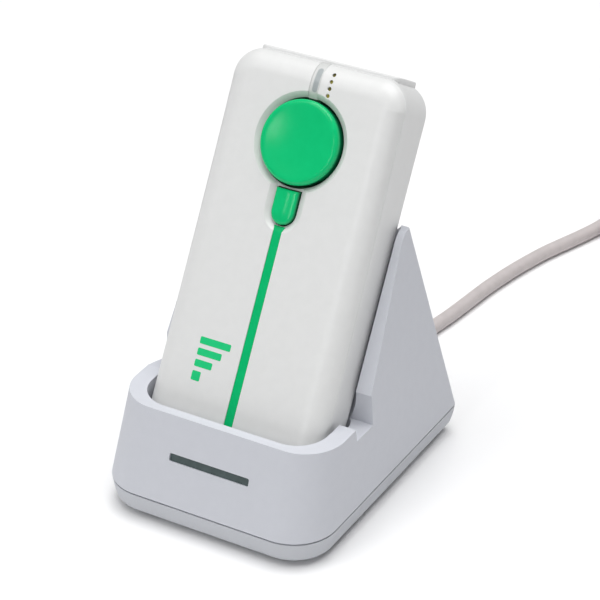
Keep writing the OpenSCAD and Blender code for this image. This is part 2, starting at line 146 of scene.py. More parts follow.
# Half width, front, back and corner radius of the window's opening, of the ledge under it and of its pane
OPENING = (17.4, 5.8, 16.7, 2.0)
LEDGE = (16.0, 6.6, 16.0, 1.5)
PANE = (17.3, 5.9, 16.6, 1.9)
SURROUND_LOW = 119
SURROUND_DEEP = 4.2
# Where a cutter starts in front of the face and ends past the top
BEFORE_FACE = -3
PAST_TOP = 130
# Seats in the cradle's front wall: half width, then from and to in depth and along the wall
LENS_SEAT = (12.65, 0.65, 2.2, 12.35, 14.8)
BOARD_SEAT = (11.65, 1.25, 2.15, 0.6, 13)
LIP_TOP = SEAM_Z - 0.04
# The slope on the cradle's left, in the row frame's (y, z)
LEFT_SLOPE = [
    (-18, 28), (-18, RIM_Z), (-15.6, 32.3), (-13.8, 31.9), (-11.6, 31.3), (-9.5, 30.7), (-7.8, 30.2),
    (-6.2, 29.9), (-6.2, 28),
]


def leaned(degrees):
    """A turn that leans what stands upright back by an angle in degrees."""
    return Matrix.Rotation(-math.radians(degrees), 4, "X")


ROW = Matrix.Identity(4)
UNIT = Matrix.Translation((0, FACE_Y, FACE_Z)) @ leaned(LEAN)
WALL_FRAME = Matrix.Translation((0, -CRADLE_D / 2, SEAM_Z)) @ leaned(FRONT_DRAFT)
BACKWARDS = Matrix.Translation((0, 0, RELIEF_Z)) @ leaned(90)


# ---- Camera ----
def make_camera():
    """The camera that was fitted to the photo's edges."""
    azimuth, elevation, distance = math.radians(29.918), math.radians(31.069), 694.317
    aim_right, aim_up, aim_height = 5.911, -4.058, 60.0
    right = Vector((math.cos(azimuth), math.sin(azimuth), 0))
    back = Vector((math.cos(elevation) * math.sin(azimuth), -math.cos(elevation) * math.cos(azimuth),
                   math.sin(elevation)))
    up = back.cross(right)
    data = bpy.data.cameras.new("camera")
    data.lens = 151.98
    data.sensor_width = 36
    data.clip_start = 0.01
    camera = bpy.data.objects.new("camera", data)
    place = Vector((0, 0, aim_height)) + right * aim_right + up * aim_up + back * distance
    turn = Matrix((right, up, back)).transposed().to_4x4()
    camera.matrix_world = Matrix.Translation(place * MM) @ turn
    bpy.context.scene.collection.objects.link(camera)
    bpy.context.scene.camera = camera


# ---- Outlines and meshes ----
def arc(x, y, r, start, end, steps):
    """Points of an arc, both ends included, angles in degrees."""
    angles = [math.radians(start + (end - start) * i / steps) for i in range(steps + 1)]
    return [(x + r * math.cos(a), y + r * math.sin(a)) for a in angles]


def rounded(half, low, high, r_low, r_high, steps):
    """Outline of a box with rounded corners: x from -half to half, y from low to high."""
    return (arc(half - r_low, low + r_low, r_low, -90, 0, steps)
            + arc(half - r_high, high - r_high, r_high, 0, 90, steps)
            + arc(r_high - half, high - r_high, r_high, 90, 180, steps)
            + arc(r_low - half, low + r_low, r_low, 180, 270, steps))


def add_piece(name, bm, place=ROW):
    """A mesh object from bm, whose points are in mm in the frame that place gives."""
    bmesh.ops.transform(bm, matrix=Matrix.Scale(MM, 4) @ place, verts=bm.verts)
    bmesh.ops.recalc_face_normals(bm, faces=bm.faces)
    mesh = bpy.data.meshes.new(name)
    bm.to_mesh(mesh)
    bm.free()
    piece = bpy.data.objects.new(name, mesh)
    bpy.context.scene.collection.objects.link(piece)
    return piece


def loft(rings, closed=False):
    """Quads between rings of the same number of points, capped unless the rings close on themselves."""
    bm = bmesh.new()
    rows = [[bm.verts.new(p) for p in ring] for ring in rings]
    n = len(rings[0])
    pairs = list(zip(rows, rows[1:]))
    if closed:
        pairs.append((rows[-1], rows[0]))
    for a, b in pairs:
        for i in range(n):
            j = (i + 1) % n
            bm.faces.new((a[i], a[j], b[j], b[i]))
    if not closed:
        bm.faces.new(rows[0])
        bm.faces.new(rows[-1])
    return bm


def revolve(profile, steps):
    """A closed solid of revolution about Z from (r, z) points. Points with r = 0 become poles."""
    bm = bmesh.new()
    rows = []
    turns = [2 * math.pi * i / steps for i in range(steps)]
    for r, z in profile:
        if r == 0:
            rows.append([bm.verts.new((0, 0, z))])
        else:
            rows.append([bm.verts.new((r * math.cos(a), r * math.sin(a), z)) for a in turns])
    for a, b in zip(rows, rows[1:] + rows[:1]):
        for i in range(steps):
            j = (i + 1) % steps
            corners = [a[i % len(a)], a[j % len(a)], b[j % len(b)], b[i % len(b)]]
            unique = list(dict.fromkeys(corners))
            if len(unique) > 2:
                bm.faces.new(unique)
    return bm


def box_mesh(x0, x1, y0, y1, z0, z1):
    bm = bmesh.new()
    bmesh.ops.create_cube(bm, size=1)
    size = Matrix.Diagonal((x1 - x0, y1 - y0, z1 - z0, 1))
    middle = Matrix.Translation(((x0 + x1) / 2, (y0 + y1) / 2, (z0 + z1) / 2))
    bmesh.ops.transform(bm, matrix=middle @ size, verts=bm.verts)
    return bm


def prism(outline, low, high, axes="xyz"):
    """An outline of (a, b) points made solid from low to high along the third of axes."""
    order = [axes.index(axis) for axis in "xyz"]
    rings = []
    for c in (low, high):
        rings.append([tuple((a, b, c)[k] for k in order) for a, b in outline])
    return loft(rings)


def inwards(u, v):
    """Places a solid of revolution in the scanner with its axis along d, at (u, v)."""
    return UNIT @ Matrix.Translation((u, 0, v)) @ leaned(90)


def apply_modifiers(piece):
    """Makes the shape that the modifiers give the piece's own."""
    view = bpy.context.evaluated_depsgraph_get()
    mesh = bpy.data.meshes.new_from_object(piece.evaluated_get(view))
    old = piece.data
    piece.modifiers.clear()
    piece.data = mesh
    mesh.name = old.name
    bpy.data.meshes.remove(old)


def combine(piece, others, operation):
    """Unites others with piece, or cuts them out of it, and removes them."""
    for other in others:
        step = piece.modifiers.new("combine", "BOOLEAN")
        step.object = other
        step.operation = operation
        step.solver = "EXACT"
        bpy.context.view_layer.update()
        apply_modifiers(piece)
        bpy.data.objects.remove(other)
    return piece


def cut(piece, *others):
    return combine(piece, others, "DIFFERENCE")


def join(piece, *others):
    return combine(piece, others, "UNION")


def clean_up(piece):
    """Joins faces that lie in one plane and welds stray points."""
    weld, flat = 0.002, math.radians(0.6)
    bm = bmesh.new()
    bm.from_mesh(piece.data)
    bmesh.ops.remove_doubles(bm, verts=bm.verts, dist=weld * MM)
    bmesh.ops.dissolve_limit(bm, angle_limit=flat, verts=bm.verts, edges=bm.edges)
    bm.to_mesh(piece.data)
    bm.free()


def bevel(piece, width, segments, method):
    step = piece.modifiers.new("edges", "BEVEL")
    step.width = width * MM
    step.segments = segments
    step.limit_method = method
    step.miter_outer = "MITER_ARC"
    return step


def round_edges(piece, width, softness):
    """Rounds the sharp edges by width times softness(middle of the edge in mm), and keeps the result."""
    bm = bmesh.new()
    bm.from_mesh(piece.data)
    weight = bm.edges.layers.float.new("bevel_weight_edge")
    limit = math.radians(24)
    for edge in bm.edges:
        if len(edge.link_faces) == 2 and edge.calc_face_angle(0) > limit:
            edge[weight] = softness((edge.verts[0].co + edge.verts[1].co) / 2 / MM)
    bm.to_mesh(piece.data)
    bm.free()
    bevel(piece, width, 3, "WEIGHT")
    bpy.context.view_layer.update()
    apply_modifiers(piece)


def smooth(piece, angle=35):
    """Smooth shading that stays sharp over edges steeper than angle."""
    mesh = piece.data
    mesh.polygons.foreach_set("use_smooth", [True] * len(mesh.polygons))
    bm = bmesh.new()
    bm.from_mesh(mesh)
    limit = math.radians(angle)
    for edge in bm.edges:
        edge.smooth = len(edge.link_faces) == 2 and edge.calc_face_angle(0) < limit
    bm.to_mesh(mesh)
    bm.free()
    weigh = piece.modifiers.new("normals", "WEIGHTED_NORMAL")
    weigh.keep_sharp = True
    weigh.weight = 60


def finish_piece(piece, body, made, slot, *nodes):
    """Gives a piece its material, the body it rides and the CAD nodes that it replaces; slot is not used."""
    piece.data.materials.clear()
    piece.data.materials.append(made)
    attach(piece, body)
    if nodes:
        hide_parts(*nodes)
    return piece


# ---- Materials ----
def material(name, color, roughness, **sockets):
    """A Principled material. Sockets are named in lower case with underscores."""
    made = bpy.data.materials.new(name)
    made.use_nodes = True
    shader = made.node_tree.nodes["Principled BSDF"]
    shader.inputs["Base Color"].default_value = (*color, 1)
    shader.inputs["Roughness"].default_value = roughness
    names = {socket.name.lower().replace(" ", "_"): socket for socket in shader.inputs}
    for key, value in sockets.items():
        names[key].default_value = value
    return made


def node(made, kind, **settings):
    """A new node of the material, with its settings."""
    new = made.node_tree.nodes.new(kind)
    for key, value in settings.items():
        setattr(new, key, value)
    return new


def link(made, source, output, target, socket):
    made.node_tree.links.new(source.outputs[output], target.inputs[socket])


def shader_of(made):
    return made.node_tree.nodes["Principled BSDF"]


def row_point(made):
    """The row frame's coordinates in millimetres."""
    place = node(made, "ShaderNodeTexCoord")
    scale = node(made, "ShaderNodeMapping", vector_type="POINT")
    scale.inputs["Scale"].default_value = (1 / MM, 1 / MM, 1 / MM)
    link(made, place, "Object", scale, "Vector")
    return scale


def unit_point(made):
    """The scanner's own coordinates in millimetres: u, d and v as X, Y and Z."""
    shift = node(made, "ShaderNodeMapping", vector_type="TEXTURE")
    shift.inputs["Location"].default_value = (0, FACE_Y, FACE_Z)
    shift.inputs["Rotation"].default_value = (-math.radians(LEAN), 0, 0)
    link(made, row_point(made), "Vector", shift, "Vector")
    return shift


def noise_node(made, scale):
    """Noise with scale features per millimetre."""
    noise = node(made, "ShaderNodeTexNoise")
    noise.inputs["Scale"].default_value = scale
    link(made, row_point(made), "Vector", noise, "Vector")
    return noise


def ramp_node(made, first, last):
    """A colour ramp from first to last."""
    ramp = node(made, "ShaderNodeValToRGB")
    ramp.color_ramp.elements[0].color = (*first, 1)
    ramp.color_ramp.elements[1].color = (*last, 1)
    return ramp


def grain(made, scale, depth):
    """A fine moulded texture as bump."""
    noise = noise_node(made, scale)
    noise.inputs["Detail"].default_value = 3.0
    noise.inputs["Roughness"].default_value = 0.6
    bump = node(made, "ShaderNodeBump")
    bump.inputs["Strength"].default_value = depth
    bump.inputs["Distance"].default_value = 0.02 * MM
    link(made, noise, "Fac", bump, "Height")
    link(made, bump, "Normal", shader_of(made), "Normal")


def tint(made, color, other, scale):
    """A soft variation of the base colour between two close tones."""
    noise = noise_node(made, scale)
    noise.inputs["Detail"].default_value = 4
    ramp = ramp_node(made, color, other)
    ramp.color_ramp.elements[0].position = 0.35
    ramp.color_ramp.elements[1].position = 0.65
    link(made, noise, "Fac", ramp, "Fac")
    link(made, ramp, "Color", shader_of(made), "Base Color")


def rough_patches(made, scale, low, high):
    """Roughness that varies softly from low to high."""
    noise = noise_node(made, scale)
    span = node(made, "ShaderNodeMapRange")
    span.inputs["To Min"].default_value = low
    span.inputs["To Max"].default_value = high
    link(made, noise, "Fac", span, "Value")
    link(made, span, "Result", shader_of(made), "Roughness")


def plastic(name, color, other, roughness, grain_scale, grain_depth, **sockets):
    """A moulded plastic with a soft tint, a fine grain and patches of roughness."""
    made = material(name, color, roughness, **sockets)
    tint(made, color, other, 0.35)
    grain(made, grain_scale, grain_depth)
    rough_patches(made, 0.8, roughness * 0.9, roughness * 1.12)
    return made


def metal(name, color, patch_scale, low, high):
    made = material(name, color, (low + high) / 2, metallic=1.0)
    rough_patches(made, patch_scale, low, high)
    return made


# Sockets of a Mix node for colours, which shares its names between types
MIX_FACTOR, MIX_COLOR_A, MIX_COLOR_B, MIX_COLOR_OUT = 0, 6, 7, 2


def shade_skirt(made, dark, start, end):
    """Painted shade: darkens the colour below the scanner's face, from depth start to end, where a key meets
    its gap and lies in its shadow.
    """
    shader = shader_of(made)
    color = shader.inputs["Base Color"].links[0].from_node
    parts = node(made, "ShaderNodeSeparateXYZ")
    link(made, unit_point(made), "Vector", parts, "Vector")
    span = node(made, "ShaderNodeMapRange")
    span.inputs["From Min"].default_value = start
    span.inputs["From Max"].default_value = end
    link(made, parts, "Y", span, "Value")
    mix = node(made, "ShaderNodeMix", data_type="RGBA")
    mix.inputs[MIX_COLOR_B].default_value = (*dark, 1)
    link(made, span, "Result", mix, MIX_FACTOR)
    link(made, color, "Color", mix, MIX_COLOR_A)
    link(made, mix, MIX_COLOR_OUT, shader, "Base Color")


def make_materials():
    m = {}
    m["scanner"] = plastic("pearl_white_plastic", (0.76, 0.765, 0.76), (0.775, 0.78, 0.775), 0.36, 4.0, 0.35,
                           coat_weight=0.12, coat_roughness=0.25)
    m["scanner_back"] = plastic("pearl_white_rear", (0.745, 0.75, 0.748), (0.755, 0.76, 0.758), 0.38, 4.0,
                                0.35, coat_weight=0.1, coat_roughness=0.3)
    m["cradle"] = plastic("cradle_matte_plastic", (0.605, 0.62, 0.67), (0.615, 0.63, 0.68), 0.52, 5.0, 0.5)
    m["base"] = plastic("base_matte_plastic", (0.54, 0.555, 0.59), (0.55, 0.565, 0.60), 0.55, 5.0, 0.5)
    m["button"] = plastic("button_green_plastic", (0.002, 0.54, 0.18), (0.003, 0.56, 0.19), 0.16, 3.0, 0.10,
                          specular_ior_level=0.26)
    # Painted shade on the trigger's and the key's sides below the face, where they sit in shadow in their
    # gaps
    shade_skirt(m["button"], (0.005, 0.15, 0.06), -0.3, 0.7)
    m["strip"] = plastic("accent_green_plastic", (0.001, 0.47, 0.15), (0.002, 0.49, 0.16), 0.34, 3.0, 0.15,
                         specular_ior_level=0.1)
    m["mark"] = plastic("green_print", (0.012, 0.58, 0.20), (0.016, 0.60, 0.21), 0.5, 6.0, 0.2,
                        specular_ior_level=0.15)
    m["lead"] = plastic("lead_vinyl", (0.56, 0.515, 0.51), (0.60, 0.55, 0.545), 0.42, 2.5, 0.3)
    m["plug"] = plastic("plug_vinyl", (0.56, 0.56, 0.565), (0.60, 0.60, 0.605), 0.45, 3.0, 0.4)
    m["rubber"] = plastic("foot_rubber", (0.42, 0.43, 0.45), (0.46, 0.47, 0.49), 0.75, 3.0, 0.6)
    m["black"] = plastic("black_moulding", (0.02, 0.02, 0.022), (0.03, 0.03, 0.032), 0.5, 4.0, 0.4)
    m["socket"] = plastic("ivory_nylon", (0.82, 0.76, 0.60), (0.86, 0.80, 0.64), 0.5, 3.0, 0.3)
    m["battery"] = plastic("battery_film", (0.03, 0.09, 0.22), (0.035, 0.10, 0.25), 0.25, 0.6, 0.5,
                           coat_weight=0.5)
    m["gold"] = metal("gold_plating", (0.83, 0.58, 0.22), 2.0, 0.18, 0.32)
    m["steel"] = metal("screw_steel", (0.50, 0.50, 0.51), 3.0, 0.28, 0.42)
    m["metal"] = metal("plug_steel", (0.62, 0.62, 0.63), 1.0, 0.2, 0.36)
    m["led"] = plastic("led_resin", (0.85, 0.84, 0.70), (0.90, 0.88, 0.76), 0.2, 2.0, 0.1, coat_weight=0.6)
    m["red_led"] = plastic("red_led_resin", (0.55, 0.02, 0.02), (0.62, 0.03, 0.02), 0.15, 2.0, 0.1,
                           coat_weight=0.8)
    m["board"] = board_material()
    m["status"] = plastic("smoked_lens", (0.055, 0.085, 0.085), (0.075, 0.11, 0.11), 0.22, 2.0, 0.1,
                          coat_weight=0.6, coat_roughness=0.08)
    m["window"] = material("tinted_window", (0.05, 0.006, 0.01), 0.06, coat_weight=0.8)
    rough_patches(m["window"], 0.5, 0.04, 0.09)
    m["lens"] = material("coated_lens", (0.16, 0.10, 0.30), 0.05, coat_weight=1.0)
    rough_patches(m["lens"], 1.0, 0.03, 0.08)
    # Dark olive mesh, its own colour; the lighter yellow patches of its tint are painted highlights
    m["mesh"] = plastic("sound_mesh", (0.10, 0.09, 0.012), (0.36, 0.33, 0.05), 0.6, 9.0, 1.0)
    m["pipe"] = light_pipe_material()
    return m


def board_material():
    """Green solder mask with slightly paler copper runs under it."""
    made = material("circuit_board", (0.01, 0.16, 0.06), 0.3, coat_weight=0.4)
    bricks = node(made, "ShaderNodeTexBrick")
    bricks.inputs["Scale"].default_value = 0.5
    bricks.inputs["Mortar Size"].default_value = 0.03
    bricks.inputs["Color1"].default_value = (0.008, 0.13, 0.05, 1)
    bricks.inputs["Color2"].default_value = (0.010, 0.17, 0.065, 1)
    bricks.inputs["Mortar"].default_value = (0.03, 0.30, 0.12, 1)
    link(made, unit_point(made), "Vector", bricks, "Vector")
    link(made, bricks, "Color", shader_of(made), "Base Color")
    return made


def light_pipe_material():
    """Clear, slightly milky plastic with the darker light guide showing along its middle."""
    made = material("clear_light_pipe", (0.62, 0.64, 0.66), 0.22, coat_weight=0.15, coat_roughness=0.1)
    parts = node(made, "ShaderNodeSeparateXYZ")
    link(made, unit_point(made), "Vector", parts, "Vector")
    aside = node(made, "ShaderNodeMath", operation="SUBTRACT")
    aside.inputs[1].default_value = CORE_ASIDE
    link(made, parts, "X", aside, 0)
    clamp = node(made, "ShaderNodeClamp")
    clamp.inputs["Min"].default_value = CORE_LOW + CORE_HALF
    clamp.inputs["Max"].default_value = CORE_HIGH - CORE_HALF
    link(made, parts, "Z", clamp, "Value")
    away = node(made, "ShaderNodeMath", operation="SUBTRACT")
    link(made, parts, "Z", away, 0)
    link(made, clamp, "Result", away, 1)
    spot = node(made, "ShaderNodeCombineXYZ")
    link(made, aside, "Value", spot, "X")
    link(made, away, "Value", spot, "Y")
    length = node(made, "ShaderNodeVectorMath", operation="LENGTH")
    link(made, spot, "Vector", length, 0)
    edge = node(made, "ShaderNodeMapRange", interpolation_type="SMOOTHSTEP")
    edge.inputs["From Min"].default_value = CORE_HALF - CORE_BLUR
    edge.inputs["From Max"].default_value = CORE_HALF + CORE_BLUR
    link(made, length, "Value", edge, "Value")
    ramp = ramp_node(made, (0.37, 0.405, 0.415), (0.66, 0.67, 0.66))
    link(made, edge, "Result", ramp, "Fac")
    link(made, ramp, "Color", shader_of(made), "Base Color")
    return made


# ---- Scanner shells ----
def parting(v):
    """Depth of the parting line at v."""
    return PART_D - (v - PART_V) * math.tan(math.radians(PART_SLANT))


def face_inset(d):
    """How far the rounding at the face draws the outline in, at depth d."""
    if d >= FACE_ROUND_D:
        return 0.0
    return FACE_ROUND * (1 - math.sqrt(max(0.0, 1 - (1 - d / FACE_ROUND_D) ** 2)))


def unit_outline(inset):
    """The scanner's outline in (u, v), drawn in by inset."""
    r = max(CORNER_R - inset, 2.2)
    return rounded(UNIT_W / 2 - inset, UNIT_LOW + inset, UNIT_HIGH - inset, r, r, 14)


def unit_ring(depth, inset):
    """A ring of the scanner's body. depth and inset are functions of v, or numbers."""
    base = unit_outline(0)
    points = []
    for i, (_, v) in enumerate(base):
        d = depth(v) if callable(depth) else depth
        s = inset(v) if callable(inset) else inset
        x, w = unit_outline(s)[i]
        points.append((x, d, w))
    return points


def outside_ring(depth):
    """A ring on the scanner's outside, at a depth that is a function of v."""
    return unit_ring(depth, lambda v: face_inset(depth(v)))


def seam_ring():
    """The bottom of the groove between the shells."""
    return unit_ring(parting, lambda v: face_inset(parting(v)) + SEAM_GAP)


def front_rings():
    """The front shell, from its flat face round to the seam and back inside."""
    rings = []
    steps = 14
    for k in range(steps + 1):
        share = 1 - math.cos(math.radians(90 * k / steps))
        rings.append(outside_ring(lambda v: (parting(v) - SEAM_GAP) * share))
    rings.append(seam_ring())
    rings.append(unit_ring(parting, SHELL_WALL))
    rings.append(unit_ring(LIP_D + 0.9, SHELL_WALL + 0.2))
    rings.append(unit_ring(LIP_D, SHELL_WALL + 1.4))
    return rings


def rear_rings():
    """The rear shell, from its inside to the seam and round to its flat back."""
    rings = [unit_ring(UNIT_T - LIP_D, SHELL_WALL + 1.2), unit_ring(16.4, SHELL_WALL + 0.1)]
    rings += [unit_ring(parting, SHELL_WALL), seam_ring()]
    end = UNIT_T - BACK_ROUND
    for share in (0.0, 0.05, 0.1, 0.15, 0.2, 0.3, 0.5, 1.0):
        rings.append(outside_ring(lambda v: (parting(v) + SEAM_GAP) * (1 - share) + end * share))
    steps = 9
    for k in range(1, steps + 1):
        a = math.radians(90 * k / steps)
        rings.append(unit_ring(end + BACK_ROUND * math.sin(a), BACK_ROUND * (1 - math.cos(a))))
    return rings


def recess_edge(outer, inner, depth):
    """(offset, depth) points of a recess's sloping edge, softened where it meets the face."""
    slope = math.atan2(depth, outer - inner)
    rim = outer + RECESS_SOFTNESS * math.tan(slope / 2)
    points = [(rim + 0.4, -0.03), (rim, -0.002)]
    steps = 4
    for k in range(1, steps + 1):
        a = slope * k / steps
        points.append((rim - RECESS_SOFTNESS * math.sin(a), RECESS_SOFTNESS * (1 - math.cos(a))))
    points.append((inner, depth))
    return points


def key_ring(offset, high):
    """Outline of the function key in (u, v), grown by offset, with its straight top at high."""
    r = KEY_W / 2 + offset
    low = KEY_LOW + KEY_W / 2
    return arc(0, low, r, 180, 360, 12) + [(r, high), (-r, high)]


def unit_cutter(bm):
    return add_piece("cutter", bm, UNIT)


def button_cutter():
    """The sloping ring around the trigger, and the hole for its cap."""
    hole = BUTTON_R + CAP_GAP
    profile = [(0, BEFORE_FACE), (RING_OUTER + 0.8, BEFORE_FACE)]
    profile += recess_edge(RING_OUTER, hole + 0.15, RING_DEPTH)
    profile += [(hole + 0.02, RING_DEPTH + 0.12), (hole, RING_DEPTH + 0.3), (hole, 6), (0, 6)]
    return add_piece("cutter", revolve(profile, 128), inwards(0, BUTTON_V))


def key_cutters():
    """The sloping recess around the function key, and the hole for its cap."""
    top = KEY_HIGH + KEY_RECESS_END
    rings = [[(x, BEFORE_FACE, v) for x, v in key_ring(3.0, top)]]
    for offset, d in recess_edge(KEY_RECESS, KEY_GAP + 0.02, RING_DEPTH - 0.05):
        rings.append([(x, d, v) for x, v in key_ring(offset, top)])
    hole = prism(key_ring(KEY_GAP, KEY_HIGH + KEY_GAP), 0.3, 6, "xzy")
    return [unit_cutter(loft(rings)), unit_cutter(hole)]


def surface_depth(v):
    """Depth of the scanner's outside at v, on its flat face and on the rounding over its top."""
    inset = min(UNIT_HIGH - v, FACE_ROUND)
    return FACE_ROUND_D * (1 - math.sqrt(max(0.0, 1 - (1 - inset / FACE_ROUND) ** 2)))


def sound_plate(half, low, high, start, reach=0.0):
    """A plate that follows the outside at start below it, 0.2 thick or as far as the depth reach."""
    left, right = HOLE_U - half, HOLE_U + half
    rings = []
    steps = 16
    for k in range(steps + 1):
        v = low + (high - low) * k / steps
        near = surface_depth(v) + start
        far = max(reach, near + 0.2)
        rings.append([(left, near, v), (right, near, v), (right, far, v), (left, far, v)])
    return loft(rings)


def pipe_cutter():
    half = PIPE_HALF + 0.05
    return unit_cutter(box_mesh(-half, half, -1, BEZEL_FRONT - 0.04, PIPE_LOW - 0.1, PAST_TOP))


def surround_cutter():
    gap = 0.05
    half, front, back = BEZEL_HALF + gap, BEZEL_FRONT - gap, BEZEL_BACK + gap
    return unit_cutter(box_mesh(-half, half, front, back, SURROUND_LOW, PAST_TOP))


def front_cutters():
    half = STRIP_HALF + 0.05
    groove = unit_cutter(box_mesh(-half, half, -1, 0.8, STRIP_LOW - 0.12, KEY_LOW - 0.2))
    made = [button_cutter(), *key_cutters(), groove, pipe_cutter(), surround_cutter()]
    made.append(unit_cutter(sound_plate(2.2, 113.0, 120.9, 0.55, 5)))
    r = HOLE_R
    profile = [(0, -1.5), (r + 0.3, -1.5), (r + 0.3, -0.01), (r + 0.15, 0), (r + 0.03, 0.1), (r, 0.25)]
    profile += [(r, 2), (0, 2)]
    for k in range(HOLES):
        made.append(add_piece("cutter", revolve(profile, 32), inwards(HOLE_U, HOLE_LOW + HOLE_PITCH * k)))
    return made


def boss(u, v, r, d0, d1):
    """A round post in the scanner at (u, v), or a cutter, from depth d0 to d1."""
    return add_piece("boss", revolve([(0, d0), (r, d0), (r, d1), (0, d1)], 32), inwards(u, v))


def make_front_shell(m):
    shell = add_piece("front_shell_skin", loft(front_rings()), UNIT)
    join(shell, *[boss(u, v, BOSS_R, 1.4, 9) for u, v in SHELL_SCREWS])
    cut(shell, *front_cutters())
    cut(shell, *[boss(u, v, 0.92, 4.4, 10) for u, v in SHELL_SCREWS])
    smooth(shell, 26)
    return finish_piece(shell, "scanner", m["scanner"], "scanner_plastic", "front_shell")


def make_rear_shell(m):
    shell = add_piece("rear_shell_skin", loft(rear_rings()), UNIT)
    join(shell, *[boss(u, v, BOSS_R, 9, UNIT_T - 1.5) for u, v in SHELL_SCREWS])
    cutters = [surround_cutter(), pipe_cutter()]
    t = UNIT_T
    sink = [(0, t - 1.2), (2.3, t - 1.2), (2.3, t - 0.25), (2.6, t + 0.05), (2.6, 22), (0, 22)]
    for u, v in SHELL_SCREWS:
        cutters.append(boss(u, v, 1.1, 8, 21))
        cutters.append(add_piece("cutter", revolve(sink, 40), inwards(u, v)))
    for k in range(4):
        u = (k - 1.5) * PIN_PITCH
        cutters.append(unit_cutter(box_mesh(u - 1.25, u + 1.25, 8.55, 11.05, 8, 12)))
    cut(shell, *cutters)
    smooth(shell, 26)
    return finish_piece(shell, "scanner", m["scanner_back"], "scanner_plastic", "rear_shell")


def make_sound_mesh(m):
    mesh = add_piece("sound_mesh", sound_plate(2.0, 113.1, 120.7, 0.6), UNIT)
    smooth(mesh)
    return finish_piece(mesh, "scanner", m["mesh"], "black_plastic")


def mirrored(edge, middle):
    """The points of edge mirrored to the left, the middle one, and edge itself backwards."""
    return [(-x, y, z) for x, y, z in edge] + [middle] + edge[::-1]


def make_accent_strip(m):
    """The green strip: flush with the face, and sloping down with a flare where it meets the key."""
    bottom = 0.78
    stations = [
        (STRIP_LOW, STRIP_HALF, 0.03), (60, STRIP_HALF, 0.03), (74.6, STRIP_HALF, 0.03), (75.1, 1.34, 0.05),
        (75.5, 1.42, 0.14), (75.9, 1.52, 0.30), (76.3, 1.66, 0.48), (76.6, 1.8, 0.6),
    ]
    rings = []
    for v, w, d in stations:
        edge = [(w, bottom, v), (w, d + 0.12, v), (w - 0.05, d + 0.04, v), (w - 0.15, d, v)]
        rings.append(mirrored(edge, (0, d, v)))
    strip = add_piece("accent_strip_inlay", loft(rings), UNIT)
    smooth(strip, 40)
    return finish_piece(strip, "scanner", m["strip"], "accent_green", "accent_strip")


def make_light_pipe(m):
    """A clear strip that follows the recess, the face and the rounding over the top."""
    line = [(PIPE_LOW, RING_DEPTH - 0.1), (112.8, 0.83), (113.6, 0.40), (114.1, 0.12), (114.6, 0.02)]
    line.append((UNIT_HIGH - FACE_ROUND, 0.01))
    last = BEZEL_FRONT - SEAM_GAP
    steps = 16
    for k in range(1, steps + 1):
        d = last * (1 - math.cos(math.radians(90 * k / steps)))
        line.append((UNIT_HIGH - face_inset(d), d))
    w = PIPE_HALF
    rings = []
    for v, d in line:
        over = max(0.0, v - UNIT_HIGH + FACE_ROUND) / FACE_ROUND
        inner = (d + PIPE_THICK * (1 - over), v - PIPE_THICK * 0.9 * over)
        edge = [(w, *inner), (w, d + 0.1, v - 0.03), (w - 0.04, d + 0.03, v), (w - 0.14, d, v)]
        rings.append(mirrored(edge, (0, d - 0.02, v)))
    pipe = add_piece("light_pipe_strip", loft(rings), UNIT)
    smooth(pipe, 40)
    return finish_piece(pipe, "scanner", m["pipe"], "clear_plastic", "light_pipe")


def flat_ring(half, low, high, r, drop):
    """A ring parallel to the top of the window's surround, lowered by drop."""
    return [(x, d, BEZEL_TOP - drop) for x, d in rounded(half, low, high, r, r, 10)]


def surround_ring(inset, drop):
    """The surround's outline drawn in by inset."""
    r = 2.2 - inset * 0.6
    return flat_ring(BEZEL_HALF - inset, BEZEL_FRONT + inset, BEZEL_BACK - inset, r, drop)


def make_bezel(m):
    """The window's surround: its outside, its flat rim and the stepped opening."""
    rings = [surround_ring(0, SURROUND_DEEP), surround_ring(0, 0.45), surround_ring(0.06, 0.25)]
    rings += [surround_ring(0.2, 0.08), surround_ring(0.42, 0)]
    rings += [flat_ring(17.7, 5.55, 17.0, 2.2, 0), flat_ring(17.5, 5.72, 16.8, 2.1, 0.08)]
    rings += [flat_ring(*OPENING, drop) for drop in (0.25, WINDOW_SEAT)]
    rings += [flat_ring(*LEDGE, drop) for drop in (WINDOW_SEAT, SURROUND_DEEP)]
    bezel = add_piece("window_surround", loft(rings, closed=True), UNIT)
    smooth(bezel, 30)
    return finish_piece(bezel, "scanner", m["scanner"], "scanner_plastic", "window_bezel")


def make_window(m):
    rings = [flat_ring(*PANE, drop) for drop in (WINDOW_SEAT - 0.02, 0.35)]
    rings += [flat_ring(17.15, 6.05, 16.45, 1.8, 0.2), flat_ring(16.9, 6.3, 16.2, 1.6, 0.15)]
    window = add_piece("scan_window_pane", loft(rings), UNIT)
    smooth(window, 30)
    return finish_piece(window, "scanner", m["window"], "window_dark", "scan_window")


def make_button(m):
    """The trigger's cap: dished inside a rounded rim, with a skirt, a stem and three tabs."""
    top = -BUTTON_RISE
    r = BUTTON_R
    profile = [(0, top + 0.52), (2, top + 0.51), (4, top + 0.46), (6, top + 0.35), (7.6, top + 0.23),
               (8.8, top + 0.12), (9.7, top + 0.04), (10.4, top), (10.75, top + 0.02), (11.05, top + 0.1),
               (11.32, top + 0.25), (11.54, top + 0.48), (11.68, top + 0.8), (11.74, top + 1.2),
               (r - 0.15, 4.0), (r - 0.25, 4.1), (10.6, 4.1), (10.6, 2.0), (0, 2.0)]
    button = add_piece("trigger_cap", revolve(profile, 128), inwards(0, BUTTON_V))
    parts = [boss(0, BUTTON_V, 2, 1.5, 4.3)]
    for angle in (90, 210, 330):
        turn = inwards(0, BUTTON_V) @ Matrix.Rotation(math.radians(-angle), 4, "Z")
        parts.append(add_piece("tab", box_mesh(10.9, 13.25, -2, 2, 2.3, 3.2), turn))
    join(button, *parts)
    smooth(button, 30)
    return finish_piece(button, "trigger", m["button"], "button_green", "trigger_button")


